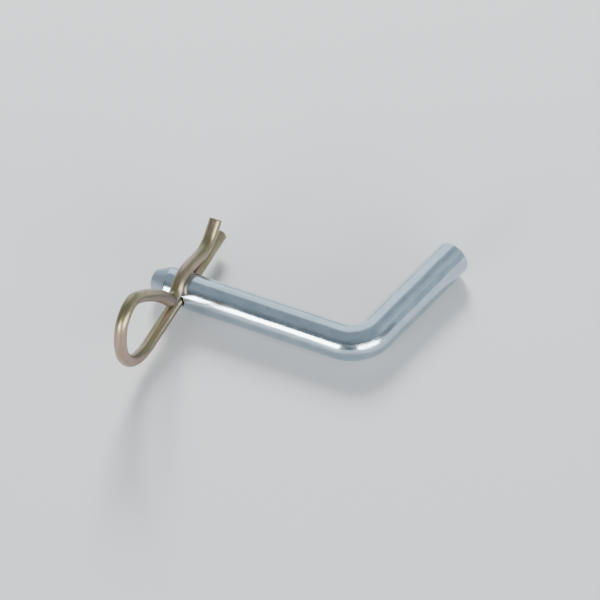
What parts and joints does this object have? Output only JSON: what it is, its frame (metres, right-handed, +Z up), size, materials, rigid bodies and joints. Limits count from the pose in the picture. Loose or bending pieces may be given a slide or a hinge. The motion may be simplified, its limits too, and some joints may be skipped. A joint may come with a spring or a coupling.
{
  "type": "hitch pin lock",
  "caption": "Bent round hitch pin with a bullet nose, locked by a hairpin spring clip through a cross hole near the nose.",
  "frame": {"origin": "bottom centre of the whole object's box, on the surface the pin lies on", "axes": "+Z up from that surface; +X along the shank from the nose towards the bend; +Y from the clip's finger eye towards the free ends of the clip and the handle"},
  "size_m": [0.0954, 0.1082, 0.0421],
  "materials": {
    "zinc_plate": "bright blue-white zinc plate on smooth drawn steel bar",
    "yellow_chromate": "yellow chromate over zinc on spring wire, faintly iridescent"
  },
  "bodies": {
    "pin": {"hitch_pin": "zinc_plate"},
    "clip": {"clip_straight_leg": "yellow_chromate"},
    "clip_arm": {"clip_spring_arm": "yellow_chromate"}
  },
  "joints": [
    {"name": "clip_pull", "type": "slide", "parent": "pin", "child": "clip", "axis": [0, -1, 0], "range_m": [0, 0.038], "deforming": ["clip_spring_arm"]},
    {"name": "spring_arm_flex", "type": "hinge", "parent": "clip", "child": "clip_arm", "pos_m": [-0.03572, -0.03726, 0.00786], "axis": [1, 0, 0], "range_deg": [0, 5], "stiffness_Nm_per_rad": 50}
  ]
}
